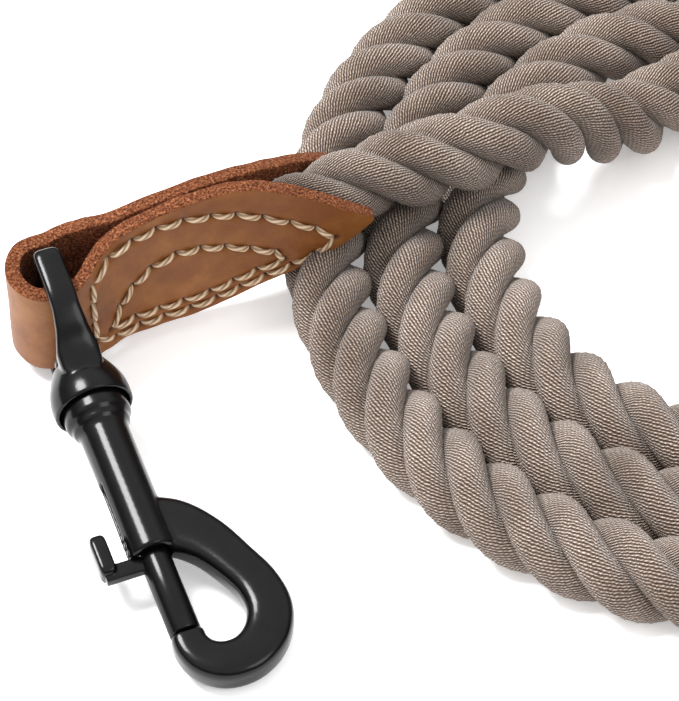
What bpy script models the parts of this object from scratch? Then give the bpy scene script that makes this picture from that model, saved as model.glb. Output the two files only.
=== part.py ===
"""Rope training leash with a bolt snap, lying coiled on a flat surface.

Units are metres, +Z up.  The snap hook points along -Y, the leather clip wrap
runs along +X from the snap's swivel eye, and the rope coil lies beside both.
The surface that the leash lies on is z = 0.
"""
import math

import bmesh
import bpy
import numpy as np
from mathutils import Matrix, Vector

MM = 0.001

# ---- driving dimensions, in millimetres -----------------------------------
ORIGIN = (-25.2, -19.4)        # the middle of the snap and wrap, in the layout's own x and y
GAP = 0.3                      # between touching pieces

ROPE_D = 16.0
ROPE_R = ROPE_D / 2

# snap: lengths run along its axis from the middle of the eye's cross bar
EYE_CENTRE = (-51.6, 19.2, 15.8)
SNAP_TILT = math.radians(7.7)  # the hook end rests on the surface, the eye end is raised
EYE_HALF_OUT = 15.2
EYE_HALF_IN = 11.7
BAR_HALF_X = 2.6
BAR_HALF_V = 2.3
BELL_R = 7.5
BELL_BORE_R = 6.7
BELL_BASE = (15.6, 19.6)
BELL_MOUTH = 26.6
RIVET_SHANK_R = 2.0
RIVET_HEAD_R = 4.0
RIVET_END = 27.0
COLLAR_R = 6.2
COLLAR = (20.2, 30.4)
BARREL_R = 4.7
BARREL_MOUTH = 59.6
BORE_R = 3.2
BORE_START = 31.0
SLOT_START = 42.0
SLOT_HALF = 1.5
GATE_R = 2.85
GATE = (52.0, 76.4)
GATE_TRAVEL = 14.0
HOOK_SEAT = 76.8
LEVER_ARM = (59.0, 62.2)
LEVER_HALF = 1.15
PAD_X = (-10.3, -7.4)
PAD_V = (54.0, 62.4)
PAD_HALF = 2.4
SPRING_R = 2.45
SPRING_WIRE_R = 0.35
SPRING_TURNS = 9

# leather
LEATHER_T = 3.0
LOOP_R = 6.5                   # of the leather's middle line round the cross bar
WRAP_Y = 19.2
THREAD_R = 0.55

# coil: an oval laid flat, turned to the snap's axis
COIL_TURN = math.radians(-22.0)
COIL_CENTRE = (80.8, 34.3)
COIL_RADII = (67.8, 75.7)
COIL_GROWTH = -21.7            # how much narrower the oval is at its top than at its foot
COIL_SIDESTEP = 2.3            # the turns drift outwards by this at the top and inwards at the foot
LEAD_START = (4.0, 21.9)       # where the rope comes out between the leather's tips
SEWN_END_X = (-27.0, 10.6)     # the stitched end's reach inside the clip leather

# handle sleeve
SLEEVE_LENGTH = 50.0
SLEEVE_WALL = 2.6
SLEEVE_ROOM = 0.8              # between its wall and the strands
SLEEVE_PITCH = ROPE_D + GAP    # between the two strands in it
SLEEVE_MIDDLE = (107.0, 58.0)
SLEEVE_WAY = (0.17, -0.985)
SLEEVE_Z = 29.0
HAND_LOOP = [(14.0, 9.0, 28.0), (30.0, 15.0, 26.0), (46.0, 25.0, 24.8), (62.0, 32.5, 24.6),
             (79.0, 33.0, 24.6), (93.0, 21.0, 24.6)]     # along and across from the sleeve's end, and z
HAND_LOOP_LENGTH = 99.0


# ---- small tools ----------------------------------------------------------
def clear_scene():
    for item in list(bpy.data.objects):
        bpy.data.objects.remove(item, do_unlink=True)


def srgb(code):
    """Turn a hex colour into linear values."""
    parts = [int(code[i:i + 2], 16) / 255 for i in (0, 2, 4)]
    return [c / 12.92 if c <= 0.04045 else ((c + 0.055) / 1.055) ** 2.4 for c in parts]


def material(name, code, roughness, metallic=0.0):
    made = bpy.data.materials.new(name)
    made.use_nodes = True
    shader = made.node_tree.nodes["Principled BSDF"]
    shader.inputs["Base Color"].default_value = (*srgb(code), 1.0)
    shader.inputs["Roughness"].default_value = roughness
    shader.inputs["Metallic"].default_value = metallic
    return made


def add_object(name, mesh_or_curve, finish, matrix=None):
    item = bpy.data.objects.new(name, mesh_or_curve)
    bpy.context.scene.collection.objects.link(item)
    mesh_or_curve.materials.append(finish)
    if matrix is not None:
        item.matrix_world = matrix
    return item


def mesh_from(name, points, faces):
    """A mesh from points in millimetres, its faces turned to point out."""
    mesh = bpy.data.meshes.new(name)
    scaled = [tuple(MM * value for value in point) for point in points]
    mesh.from_pydata(scaled, [], faces)
    work = bmesh.new()
    work.from_mesh(mesh)
    bmesh.ops.recalc_face_normals(work, faces=work.faces)
    work.to_mesh(mesh)
    work.free()
    return mesh


def smooth(mesh, angle=35):
    mesh.shade_smooth()
    mesh.set_sharp_from_angle(angle=math.radians(angle))
    return mesh


def natural_curve(knots, count):
    """Points on one smooth curve through the knots, evenly spaced by length."""
    knots = np.asarray(knots, float)
    steps = np.linalg.norm(np.diff(knots, axis=0), axis=1)
    at = np.concatenate([[0], np.cumsum(np.sqrt(steps))])
    slopes = np.gradient(knots, at, axis=0)
    fine = np.linspace(0, at[-1], 60 * len(knots))
    spot = np.clip(np.searchsorted(at, fine, side="right") - 1, 0, len(at) - 2)
    span = (at[spot + 1] - at[spot])[:, None]
    u = (fine - at[spot])[:, None] / span
    line = ((2 * u**3 - 3 * u**2 + 1) * knots[spot] + (u**3 - 2 * u**2 + u) * span * slopes[spot]
            + (3 * u**2 - 2 * u**3) * knots[spot + 1] + (u**3 - u**2) * span * slopes[spot + 1])
    length = np.concatenate([[0], np.cumsum(np.linalg.norm(np.diff(line, axis=0), axis=1))])
    want = np.linspace(0, length[-1], count)
    return np.stack([np.interp(want, length, line[:, i]) for i in range(line.shape[1])], 1)


def ring_faces(rings, sides, closed=False):
    """Quads between neighbouring rings of points, with end caps unless closed."""
    faces = []
    for j in range(rings if closed else rings - 1):
        a = j * sides
        b = ((j + 1) % rings) * sides
        faces += [(a + i, a + (i + 1) % sides, b + (i + 1) % sides, b + i) for i in range(sides)]
    if not closed:
        faces.append(tuple(range(sides))[::-1])
        faces.append(tuple((rings - 1) * sides + i for i in range(sides)))
    return faces


def tube_mesh(name, line, radius, sides=8):
    """A round tube along a line of points, with flat ends."""
    line = np.asarray(line, float)
    ahead = np.gradient(line, axis=0)
    ahead /= np.linalg.norm(ahead, axis=1)[:, None]
    side = np.cross(ahead[0], (0.12, 0.23, 0.96))
    points = []
    for centre, way in zip(line, ahead):
        side = side - way * (side @ way)
        side /= np.linalg.norm(side)
        other = np.cross(way, side)
        for i in range(sides):
            turn = 2 * math.pi * i / sides
            points.append(centre + radius * (math.cos(turn) * side + math.sin(turn) * other))
    return mesh_from(name, points, ring_faces(len(line), sides))


def lathe(name, profile, sides=24):
    """Turn a closed (v, r) profile about the snap's axis, v along -Y."""
    points = []
    for i in range(sides):
        turn = 2 * math.pi * i / sides
        points += [(r * math.cos(turn), -v, r * math.sin(turn)) for v, r in profile]
    return mesh_from(name, points, ring_faces(sides, len(profile), closed=True))


def lathe_solid(name, profile, sides=24):
    """Turn an open (v, r) profile about the snap's axis, and close its two ends."""
    points = []
    for v, r in profile:
        for i in range(sides):
            turn = 2 * math.pi * i / sides
            points.append((r * math.cos(turn), -v, r * math.sin(turn)))
    return mesh_from(name, points, ring_faces(len(profile), sides))


def box_mesh(name, low, high):
    corners = [(x, y, z) for x in (low[0], high[0]) for y in (low[1], high[1]) for z in (low[2], high[2])]
    faces = [(0, 1, 3, 2), (4, 6, 7, 5), (0, 4, 5, 1), (2, 3, 7, 6), (0, 2, 6, 4), (1, 5, 7, 3)]
    return mesh_from(name, corners, faces)


def helper(name, mesh, matrix):
    """A cutter or a piece to be joined: it is left out of the model."""
    item = bpy.data.objects.new(name, mesh)
    bpy.context.scene.collection.objects.link(item)
    item.matrix_world = matrix
    item.hide_render = True
    item.display_type = "WIRE"
    return item


def boolean(item, other, operation, solver="EXACT"):
    step = item.modifiers.new(operation.lower(), "BOOLEAN")
    step.operation = operation
    step.object = other
    step.solver = solver


def snap_matrix():
    """The snap's own frame: its axis is -Y, tilted down to the surface at the hook."""
    place = Vector((EYE_CENTRE[0] - ORIGIN[0], EYE_CENTRE[1] - ORIGIN[1], EYE_CENTRE[2])) * MM
    return Matrix.Translation(place) @ Matrix.Rotation(SNAP_TILT, 4, "X")


def placed(points):
    """Shift layout points so that the origin lies under the snap and the wrap."""
    return np.asarray(points, float) - np.array([ORIGIN[0], ORIGIN[1], 0.0])


# ---- the snap -------------------------------------------------------------
def make_swivel_eye(finish, frame):
    """A flat-sided eye for the strap, closed by a bell that turns round the collar."""
    upper = [((23.5, BELL_R - 0.4), (21.0, 4.4)), ((20.0, 8.2), (17.4, 3.0)), ((16.6, 9.6), (BELL_BASE[0], 5.6)),
             ((13.2, 12.3), (12.4, 9.6)), ((9.6, 14.2), (8.9, EYE_HALF_IN)), ((3.0, EYE_HALF_OUT), (5.5, EYE_HALF_IN)),
             ((-BAR_HALF_V + 1.4, EYE_HALF_OUT), (BAR_HALF_V, EYE_HALF_IN)),
             ((-BAR_HALF_V, EYE_HALF_OUT - 2.0), (BAR_HALF_V, EYE_HALF_IN - 1.0))]
    lower = [((v, -w), (q, -p)) for (v, w), (q, p) in upper[::-1]]
    points = []
    for (v, w), (q, p) in upper + lower:
        points += [(-BAR_HALF_X, -v, w), (BAR_HALF_X, -v, w), (BAR_HALF_X, -q, p), (-BAR_HALF_X, -q, p)]
    faces = ring_faces(len(upper) * 2, 4)
    eye = add_object("swivel_eye", mesh_from("swivel_eye", points, faces), finish, frame)
    rounding = eye.modifiers.new("edges", "BEVEL")
    rounding.width = 0.7 * MM
    rounding.segments = 2
    rounding.limit_method = "ANGLE"
    bell = [(BELL_BASE[0], 3.4), (17.6, 3.9), (19.6, 4.9), (21.4, 6.4), (23.4, 7.3), (25.6, BELL_R),
            (BELL_MOUTH, BELL_R - 0.1), (BELL_MOUTH, BELL_BORE_R), (BELL_BASE[1], BELL_BORE_R - 1.6),
            (BELL_BASE[1], 0.9), (BELL_BASE[0], 0.9)]
    boolean(eye, helper("eye_bell", lathe("eye_bell", bell, 28), frame), "UNION", "MANIFOLD")
    bore = [(BELL_BASE[0] - 6, RIVET_SHANK_R + GAP), (BELL_BASE[1], RIVET_SHANK_R + GAP),
            (BELL_BASE[1], 4.6), (22.0, BELL_BORE_R), (BELL_MOUTH + 3, BELL_BORE_R)]
    boolean(eye, helper("eye_bore", lathe_solid("eye_bore", bore, 28), frame), "DIFFERENCE", "MANIFOLD")
    return eye


def make_swivel_rivet(finish, frame):
    head = BELL_BASE[0] - GAP
    profile = [(head - 1.9, 2.2), (head - 1.5, 3.3), (head - 0.7, RIVET_HEAD_R), (head, RIVET_HEAD_R),
               (head, RIVET_SHANK_R), (RIVET_END - 0.4, RIVET_SHANK_R), (RIVET_END, RIVET_SHANK_R - 0.4)]
    mesh = smooth(lathe_solid("swivel_rivet", profile, 20))
    return add_object("swivel_rivet", mesh, finish, frame)


def hook_band():
    """The hook's middle line (x, v), its half width across and its half thickness."""
    return [
        (1.0, 55.0, 6.6, 2.9), (5.4, 56.2, 6.0, 3.0), (9.6, 60.6, 4.4, 3.2), (12.8, 66.4, 3.6, 3.3),
        (14.5, 71.4, 3.7, 3.3), (14.6, 76.6, 3.9, 3.3), (12.6, 81.4, 4.0, 3.3), (8.8, 84.2, 3.9, 3.3),
        (4.5, 84.2, 3.7, 3.3), (1.4, 82.2, 3.4, 3.2), (0.05, 79.4, 3.15, 3.15), (0.0, HOOK_SEAT, 3.0, 3.0)]


def hook_mesh(name, stations=34, sides=16):
    """An oval section carried along the hook's middle line."""
    line = natural_curve(hook_band(), stations)
    line[-1, 1] = HOOK_SEAT
    ahead = np.gradient(line[:, :2], axis=0)
    ahead[-1] = (0, -1)
    ahead /= np.linalg.norm(ahead, axis=1)[:, None]
    points = []
    for (x, v, half, thick), (dx, dv) in zip(line, ahead):
        for i in range(sides):
            turn = 2 * math.pi * i / sides
            across = half * math.cos(turn)
            points.append((x + dv * across, -(v - dx * across), thick * math.sin(turn)))
    return mesh_from(name, points, ring_faces(stations, sides))


def make_snap_body(finish, frame):
    """Barrel with its collar, and the hook that grows out of its side."""
    barrel = [(COLLAR[0], 3.6), (COLLAR[0] + 1.0, 4.4), (22.6, COLLAR_R), (COLLAR[1] - 1.2, COLLAR_R),
              (COLLAR[1], BARREL_R + 0.2), (32.0, BARREL_R), (44.0, BARREL_R - 0.1),
              (BARREL_MOUTH - 0.6, BARREL_R), (BARREL_MOUTH, BARREL_R - 0.5)]
    body = add_object("snap_body", lathe_solid("snap_body", barrel, 28), finish, frame)
    boolean(body, helper("hook", hook_mesh("hook"), frame), "UNION")
    bore = [(BORE_START, BORE_R), (HOOK_SEAT - 8, BORE_R)]
    boolean(body, helper("bore", lathe_solid("bore", bore, 24), frame), "DIFFERENCE")
    socket = [(COLLAR[0] - 2, RIVET_SHANK_R + GAP), (RIVET_END + GAP, RIVET_SHANK_R + GAP)]
    boolean(body, helper("rivet_socket", lathe_solid("rivet_socket", socket, 20), frame), "DIFFERENCE")
    slot = box_mesh("slot", (-9, -HOOK_SEAT + 10, -SLOT_HALF), (-1.0, -SLOT_START, SLOT_HALF))
    boolean(body, helper("slot", slot, frame), "DIFFERENCE")
    return body


def make_gate_bolt(finish, frame):
    profile = [(GATE[0], GATE_R - 0.4), (GATE[0] + 0.4, GATE_R), (GATE[1] - 0.4, GATE_R),
               (GATE[1], GATE_R - 0.4)]
    bolt = add_object("gate_bolt", smooth(lathe_solid("gate_bolt", profile, 24)), finish, frame)
    middle = sum(LEVER_ARM) / 2
    hole = tube_mesh("stud_hole", [(-5.0, -middle, 0), (1.2, -middle, 0)], 1.3, 12)
    boolean(bolt, helper("stud_hole", hole, frame), "DIFFERENCE")
    return bolt


def make_thumb_lever(finish, frame):
    """An L-shaped lever: a stud in the bolt, an arm through the slot and a thumb pad."""
    pad = box_mesh("thumb_lever", (PAD_X[0], -PAD_V[1], -PAD_HALF), (PAD_X[1], -PAD_V[0], PAD_HALF))
    lever = add_object("thumb_lever", pad, finish, frame)
    arm = box_mesh("lever_arm", (PAD_X[0] + 1.2, -LEVER_ARM[1], -LEVER_HALF),
                   (-GATE_R - GAP, -LEVER_ARM[0], LEVER_HALF))
    boolean(lever, helper("lever_arm", arm, frame), "UNION")
    middle = sum(LEVER_ARM) / 2
    stud = tube_mesh("lever_stud", [(PAD_X[1] - 1, -middle, 0), (0.8, -middle, 0)], 0.95, 10)
    boolean(lever, helper("lever_stud", stud, frame), "UNION")
    rounding = lever.modifiers.new("edges", "BEVEL")
    rounding.width = 0.5 * MM
    rounding.segments = 2
    rounding.limit_method = "ANGLE"
    rounding.angle_limit = math.radians(50)
    return lever


def make_gate_spring(finish, frame):
    """A round-wire coil spring between the bore's end and the bolt's tail."""
    start = BORE_START + SPRING_WIRE_R + GAP
    end = GATE[0] - SPRING_WIRE_R - GAP
    steps = SPRING_TURNS * 14
    line = []
    for i in range(steps + 1):
        turn = 2 * math.pi * SPRING_TURNS * i / steps
        line.append((SPRING_R * math.cos(turn), -(start + (end - start) * i / steps), SPRING_R * math.sin(turn)))
    mesh = tube_mesh("gate_spring", line, SPRING_WIRE_R, 6)
    return add_object("gate_spring", mesh, finish, frame)


# ---- the clip leather and its thread --------------------------------------
def leather_plan():
    """The strip's middle line seen from above, from the near tip round the bar to the far tip.

    Each knot is (x, distance from the wrap's middle plane).
    """
    near = [(11.3, 8.0), (6.0, 7.4), (-3.0, 5.0), (-12.0, 2.9), (-22.0, 2.3), (-32.0, 2.8), (-40.0, 4.4),
            (-46.0, 6.0)]
    turns = [math.radians(a) for a in (115, 145, 180, 215, 245)]
    fold = [(EYE_CENTRE[0] + LOOP_R * math.cos(a), -LOOP_R * math.sin(a)) for a in turns]
    line = [(x, -d) for x, d in near] + fold + [(x, d) for x, d in near[::-1]]
    return [(x, WRAP_Y + d) for x, d in line]


def leather_heights(x):
    """Lower and upper edge of the leather at x: a strap at the fold, a pointed leaf beyond it."""
    at = [-48.6, -43.2, -30.0, -18.0, -9.0, -5.5, 0.0, 6.0, 11.3]
    low = [4.6, 4.8, 5.2, 6.4, 9.6, 13.4, 16.8, 19.4, 23.2]
    high = [27.0, 31.4, 35.0, 35.4, 34.0, 33.2, 31.1, 27.8, 24.2]
    return np.interp(x, at, low), np.interp(x, at, high)


def make_clip_leather(finish):
    """One strip, folded round the tilted cross bar, with a grid on each of its two faces."""
    stations = 56
    rows = 4
    line = natural_curve(leather_plan(), stations)
    ahead = np.gradient(line, axis=0)
    ahead /= np.linalg.norm(ahead, axis=1)[:, None]
    normal = np.stack([ahead[:, 1], -ahead[:, 0]], 1)
    low, high = leather_heights(line[:, 0])
    lean = np.interp(line[:, 0], [-48.0, -42.5], [math.tan(SNAP_TILT), 0.0])
    points = []
    for i in range(stations):
        for side in (1, -1):
            x, y = line[i] + side * normal[i] * LEATHER_T / 2
            for j in range(rows + 1) if side == 1 else range(rows, -1, -1):
                z = low[i] + (high[i] - low[i]) * j / rows
                points.append((x, y - lean[i] * (z - EYE_CENTRE[2]), z + lean[i] * (y - EYE_CENTRE[1])))
    mesh = smooth(mesh_from("clip_leather", placed(points), ring_faces(stations, 2 * (rows + 1))))
    return add_object("clip_leather", mesh, finish)


def stitch_line(outer, count):
    """A closed loop of stitches on the leaf, as (x, z) points."""
    if outer:
        knots = [(-42, 26.5), (-36, 30.3), (-24, 31.6), (-12, 30.6), (-2, 27.2), (5.4, 23.2), (-0.5, 19.6),
                 (-9, 14.2), (-15, 11.2), (-24, 9.0), (-36, 8.8), (-42.5, 9.6), (-42, 14.0), (-38.5, 17.6), (-42, 21.6)]
    else:
        knots = [(-34.5, 18.6), (-29, 23.6), (-20, 26.4), (-10, 25.0), (-3.5, 20.4), (-10, 16.4), (-20, 13.2),
                 (-29, 13.0)]
    loop = knots + [knots[0]]
    return natural_curve(loop, count)[:-1]


def leaf_surface(x, side):
    """y of the leaf's outer face at x: side is -1 for the near leaf and 1 for the far leaf."""
    plan = np.asarray(leather_plan()[:8])
    middle = np.interp(x, plan[::-1, 0], WRAP_Y - plan[::-1, 1])
    return WRAP_Y + side * (middle + LEATHER_T / 2 * 1.06)


def make_thread(name, outer, side, finish):
    """A thread run laid on one face of the leaf."""
    loop = stitch_line(outer, 57 if outer else 37)
    lift = GAP + THREAD_R + 0.12
    line = [(x, leaf_surface(x, side) + side * lift, z) for x, z in loop]
    mesh = tube_mesh(name, placed(line), THREAD_R, 6)
    return add_object(name, mesh, finish)


# ---- the rope -------------------------------------------------------------
def turned(points):
    """Turn route points from the coil's own axes to the snap's axes."""
    points = np.asarray(points, float)
    c, s = math.cos(COIL_TURN), math.sin(COIL_TURN)
    flat = np.stack([c * points[:, 0] - s * points[:, 1], s * points[:, 0] + c * points[:, 1]], 1)
    return np.column_stack([flat, points[:, 2]])


def oval(angle, outward):
    """A point of the coil's oval at an angle in degrees, moved outwards from it."""
    wide, tall = COIL_RADII
    a = math.radians(angle)
    nx, ny = math.cos(a) / wide, math.sin(a) / tall
    reach = (outward + COIL_GROWTH / 2 * math.sin(a)) / math.hypot(nx, ny)
    return COIL_CENTRE[0] + wide * math.cos(a) + nx * reach, COIL_CENTRE[1] + tall * math.sin(a) + ny * reach


def ring_shift(angle):
    """How far the three turns stand outwards of the oval: they step inwards on the far side."""
    a = math.radians(angle)
    return COIL_SIDESTEP * math.sin(a) - ROPE_R * (0.5 + 0.5 * math.cos(a)) ** 4


def make_rope_coil(finish):
    """Three turns side by side on the surface, as one ring with rounded sides."""
    stations = 56
    corner = ROPE_R / math.cos(math.radians(22.5))
    section = [(ROPE_D + corner * math.sin(math.radians(a)), ROPE_R + corner * math.cos(math.radians(a)))
               for a in (22.5, 67.5, 112.5, 157.5)]
    section += [(-u, w) for u, w in section[::-1]]
    points = []
    for i in range(stations):
        angle = 360 * i / stations
        points += [(*oval(angle, ring_shift(angle) + u), w) for u, w in section]
    mesh = mesh_from("rope_coil", placed(turned(points)), ring_faces(stations, len(section), closed=True))
    return add_object("rope_coil", smooth(mesh), finish)


def lead_route():
    """From the clip leather over the turns and down inside the coil, on the coil's own axes."""
    over = [(LEAD_START[0], LEAD_START[1], 24.6), (17.9, 27.9, 24.6), (26.0, 31.6, 24.6), (33.6, 36.0, 24.4),
            (42.4, 41.6, 21.6), (50.6, 48.0, 16.2), (59.0, 54.6, 11.0)]
    inside = [(*oval(angle, ring_shift(angle) - 2 * ROPE_D - 0.8), 8.3) for angle in (106, 97, 88)]
    return over + inside


def sleeve_point(along, across, z):
    """A point by its distances along and across the sleeve's middle line."""
    way = np.array(SLEEVE_WAY)
    side = np.array([-way[1], way[0]])
    return (*(np.array(SLEEVE_MIDDLE) + along * way + across * side), z)


def handle_route():
    """From the outer turn up on to the coil, through the sleeve, round the hand loop and back into it."""
    rise = [(*oval(106, 6.0), 24.6), (*oval(96, 4.0), 24.8), (88.0, 102.8, 25.6), (99.5, 98.6, 27.4),
            (107.0, 92.2, 28.8)]
    half = SLEEVE_PITCH / 2
    end = SLEEVE_LENGTH / 2
    strand = [sleeve_point(t, half, SLEEVE_Z) for t in (-end - 3, 0, end + 3)]
    leg = [sleeve_point(end + along, across, z) for along, across, z in HAND_LOOP]
    foot = [sleeve_point(end + HAND_LOOP_LENGTH, 0, 24.6)]
    leg_back = [sleeve_point(end + along, -across, z) for along, across, z in HAND_LOOP[::-1]]
    strand_back = [sleeve_point(t, -half, SLEEVE_Z) for t in (end + 3, 0, 5 - end)]
    return rise + strand + leg + foot + leg_back + strand_back


def make_rope_run(name, route, count, finish):
    """A stretch of rope as a curve with a round bevel and filled ends."""
    line = placed(turned(natural_curve(route, count))) * MM
    curve = bpy.data.curves.new(name, "CURVE")
    curve.dimensions = "3D"
    curve.bevel_depth = ROPE_R * MM
    curve.bevel_resolution = 3
    curve.use_fill_caps = True
    spline = curve.splines.new("POLY")
    spline.points.add(count - 1)
    spline.points.foreach_set("co", np.column_stack([line, np.ones(count)]).ravel())
    return add_object(name, curve, finish)


def make_sewn_end(finish):
    """The rope's end between the two leaves: unlaid, flattened and stitched through."""
    stations, sides = 12, 16
    points = []
    for i in range(stations):
        x = SEWN_END_X[0] + (SEWN_END_X[1] - SEWN_END_X[0]) * i / (stations - 1)
        room = leaf_surface(x, 1) - WRAP_Y - LEATHER_T * 1.03 - GAP
        tall = min(7.7, 3.5 + 0.22 * (x - SEWN_END_X[0]))
        centre = 22.3 + (x - SEWN_END_X[0]) * 0.07
        for j in range(sides):
            turn = 2 * math.pi * j / sides
            points.append((x, WRAP_Y + room * math.cos(turn), centre + tall * math.sin(turn)))
    mesh = smooth(mesh_from("rope_sewn_end", placed(points), ring_faces(stations, sides)))
    return add_object("rope_sewn_end", mesh, finish)


# ---- the handle sleeve ----------------------------------------------------
def sleeve_section(half_wide, half_tall, count=10):
    """A section with round sides: (across, up) points."""
    side = half_wide - half_tall
    arc = [math.radians(-90 + 180 * i / (count - 1)) for i in range(count)]
    right = [(side + half_tall * math.cos(a), half_tall * math.sin(a)) for a in arc]
    return right + [(-u, -w) for u, w in right]


def make_handle_leather(finish):
    """A sleeve of leather round the standing rope and the end of the hand loop."""
    inner_tall = ROPE_R + SLEEVE_ROOM
    inner_wide = SLEEVE_PITCH / 2 + inner_tall
    outer = sleeve_section(inner_wide + SLEEVE_WALL, inner_tall + SLEEVE_WALL)
    inner = sleeve_section(inner_wide, inner_tall)
    reach = SLEEVE_LENGTH / 2
    rims = [(outer, -reach), (outer, reach), (inner, reach), (inner, -reach)]
    points = [sleeve_point(along, u, SLEEVE_Z + w) for section, along in rims for u, w in section]
    mesh = mesh_from("handle_leather", placed(turned(points)), ring_faces(4, len(outer), closed=True))
    return add_object("handle_leather", smooth(mesh), finish)


def make_handle_thread(name, up, finish):
    """A stitch line along the valley between the two strands, above or below the sleeve."""
    z = SLEEVE_Z + up * (ROPE_R + SLEEVE_ROOM + SLEEVE_WALL + GAP + THREAD_R)
    reach = SLEEVE_LENGTH / 2 - 5
    line = [sleeve_point(along, 0, z) for along in np.linspace(-reach, reach, 12)]
    mesh = tube_mesh(name, placed(turned(line)), THREAD_R, 6)
    return add_object(name, mesh, finish)


def main():
    clear_scene()
    black = material("black_enamel", "1c1d20", 0.32, 0.0)
    steel = material("spring_steel", "8f9194", 0.35, 1.0)
    tan = material("tan_leather", "a06b3c", 0.55)
    linen = material("waxed_thread", "d9cbb2", 0.6)
    cotton = material("taupe_cotton", "837568", 0.85)
    frame = snap_matrix()
    make_swivel_eye(black, frame)
    make_swivel_rivet(black, frame)
    make_snap_body(black, frame)
    make_gate_bolt(black, frame)
    make_thumb_lever(black, frame)
    make_gate_spring(steel, frame)
    make_clip_leather(tan)
    for run, outer in (("outer", True), ("inner", False)):
        make_thread(f"{run}_needle_thread", outer, -1, linen)
        make_thread(f"{run}_bobbin_thread", outer, 1, linen)
    make_sewn_end(cotton)
    make_rope_run("rope_lead", lead_route(), 14, cotton)
    make_rope_coil(cotton)
    make_rope_run("rope_handle", handle_route(), 44, cotton)
    make_handle_leather(tan)
    make_handle_thread("handle_needle_thread", 1, linen)
    make_handle_thread("handle_bobbin_thread", -1, linen)


main()
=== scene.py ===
"""Looks of the coiled rope training leash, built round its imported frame.

Lengths in the functions below are millimetres; to_world() turns them to metres.
The layout is the frame's own, with its origin moved to ORIGIN.
"""
import math

import bmesh
import bpy
import numpy as np
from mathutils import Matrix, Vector


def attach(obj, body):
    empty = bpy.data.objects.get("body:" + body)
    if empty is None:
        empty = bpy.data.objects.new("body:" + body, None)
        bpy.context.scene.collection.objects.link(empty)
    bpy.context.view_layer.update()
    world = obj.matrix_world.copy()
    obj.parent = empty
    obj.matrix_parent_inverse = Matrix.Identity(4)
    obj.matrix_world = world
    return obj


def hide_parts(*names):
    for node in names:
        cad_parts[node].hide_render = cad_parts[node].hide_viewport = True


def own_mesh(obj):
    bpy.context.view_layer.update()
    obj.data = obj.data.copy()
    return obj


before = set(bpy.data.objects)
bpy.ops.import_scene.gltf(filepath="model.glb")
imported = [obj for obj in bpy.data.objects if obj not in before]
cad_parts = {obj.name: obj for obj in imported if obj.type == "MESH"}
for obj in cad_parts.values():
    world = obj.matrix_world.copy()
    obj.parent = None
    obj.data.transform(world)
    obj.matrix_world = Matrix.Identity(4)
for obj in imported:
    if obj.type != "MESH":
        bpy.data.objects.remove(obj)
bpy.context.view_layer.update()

MM = 0.001
ORIGIN = np.array([-25.2, -19.4, 0.0])

# ---- the camera -------------------------------------------------------------
COIL_TURN = math.radians(-22.0)
VIEW_ELEVATION = math.radians(48.0)
VIEW_DISTANCE = 470.0
LENS_MM = 123.2


def turned(points):
    """The coil's own axes turned into the snap's axes, about the layout's origin."""
    points = np.atleast_2d(np.asarray(points, float))
    c, s = math.cos(COIL_TURN), math.sin(COIL_TURN)
    x, y, z = points[:, 0], points[:, 1], points[:, 2]
    return np.stack([c * x - s * y, s * x + c * y, z], 1)


def to_world(points):
    """Layout millimetres as frame metres."""
    return (np.asarray(points, float) - ORIGIN) * MM


def make_camera():
    """The viewing direction, and the distance that gives the object its size in the frame."""
    data = bpy.data.cameras.new("camera")
    data.lens = LENS_MM
    data.clip_start = 0.01
    camera = bpy.data.objects.new("camera", data)
    bpy.context.scene.collection.objects.link(camera)
    back = np.array([0, -math.cos(VIEW_ELEVATION), math.sin(VIEW_ELEVATION)]) * VIEW_DISTANCE
    camera.location = to_world(turned(back))[0]
    target = Vector(to_world(turned([0, 0, 0]))[0])
    camera.rotation_euler = (target - camera.location).to_track_quat("-Z", "Y").to_euler()
    bpy.context.scene.camera = camera


# ---- curves and surfaces ------------------------------------------------------
def smooth_line(knots, step=None, count=None):
    """Evenly spaced points on cubic pieces through the knots, each knot's slope taken from its neighbours."""
    knots = np.asarray(knots, float)
    at = np.concatenate([[0], np.cumsum(np.sqrt(np.linalg.norm(np.diff(knots, axis=0), axis=1)))])
    slopes = np.gradient(knots, at, axis=0)
    fine = np.linspace(0, at[-1], 60 * len(knots))
    spot = np.clip(np.searchsorted(at, fine, side="right") - 1, 0, len(at) - 2)
    span = (at[spot + 1] - at[spot])[:, None]
    u = (fine - at[spot])[:, None] / span
    line = ((2 * u**3 - 3 * u**2 + 1) * knots[spot] + (u**3 - 2 * u**2 + u) * span * slopes[spot]
            + (3 * u**2 - 2 * u**3) * knots[spot + 1] + (u**3 - u**2) * span * slopes[spot + 1])
    length = np.concatenate([[0], np.cumsum(np.linalg.norm(np.diff(line, axis=0), axis=1))])
    if count is None:
        count = int(round(length[-1] / step)) + 1
    want = np.linspace(0, length[-1], count)
    return np.stack([np.interp(want, length, line[:, i]) for i in range(line.shape[1])], 1)


def unit(vectors):
    return vectors / np.linalg.norm(vectors, axis=-1, keepdims=True)


def ease(value):
    """A smooth step from 0 to 1."""
    value = np.clip(value, 0, 1)
    return value * value * (3 - 2 * value)


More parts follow.
